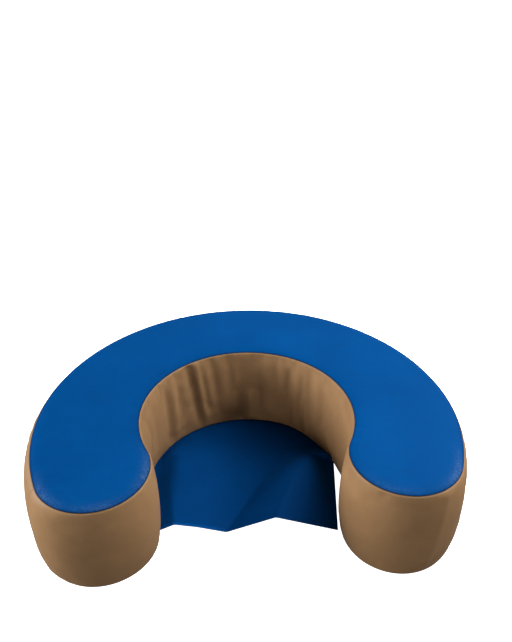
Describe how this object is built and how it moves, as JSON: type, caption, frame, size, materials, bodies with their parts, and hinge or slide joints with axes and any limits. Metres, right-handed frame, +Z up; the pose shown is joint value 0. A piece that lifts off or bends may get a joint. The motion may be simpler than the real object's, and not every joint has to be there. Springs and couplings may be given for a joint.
{
  "type": "horseshoe floor support cushion",
  "caption": "C-shaped foam floor cushion with a vinyl cover, open at the front, with a zip in its low back and a seat mat sewn into its well that folds up.",
  "frame": {"origin": "on the floor, in the middle of the object's box in plan", "axes": "+Z up; +Y towards the closed back of the ring, so the open side faces -Y; +X to the right seen from the open side"},
  "size_m": [0.66, 0.5128, 0.1575],
  "materials": {
    "foam": "open-cell polyurethane foam",
    "blue_vinyl": "satin vinyl-coated fabric",
    "tan_vinyl": "satin vinyl-coated fabric",
    "mat_vinyl": "satin vinyl-coated fabric",
    "base_vinyl": "dull non-slip vinyl",
    "zip_tape": "woven polyester tape",
    "zip_coil": "nylon",
    "thread": "bonded polyester thread",
    "zip_metal": "tumbled zinc alloy"
  },
  "bodies": {
    "cushion": {"foam_core": "foam", "top_panel": "blue_vinyl", "outer_strip": "tan_vinyl", "inner_strip": "tan_vinyl", "base_panel": "base_vinyl", "seat_mat_rear": "mat_vinyl", "zip_tape_upper": "zip_tape", "zip_tape_lower": "zip_tape", "zip_coil_upper": "zip_coil", "zip_coil_lower": "zip_coil", "zip_stop_left": "zip_metal", "zip_stop_right": "zip_metal", "zip_topstitch_upper": "thread", "zip_topstitch_lower": "thread"},
    "mat_flap": {"seat_mat_front": "mat_vinyl"},
    "slider": {"zip_slider": "zip_metal"},
    "pull": {"zip_pull": "zip_metal"}
  },
  "joints": [
    {"name": "mat_fold", "type": "hinge", "parent": "cushion", "child": "mat_flap", "pos_m": [0, -0.01748, 0.001], "axis": [-1, 0, 0], "range_deg": [0, 95]},
    {"name": "zip_travel", "type": "hinge", "parent": "cushion", "child": "slider", "pos_m": [0, -0.07448, 0.034], "axis": [0, 0, -1], "range_deg": [0, 116]},
    {"name": "pull_flip", "type": "hinge", "parent": "slider", "child": "pull", "pos_m": [-0.28261, 0.10211, 0.034], "axis": [0, 0, 1], "range_deg": [0, 165]}
  ]
}
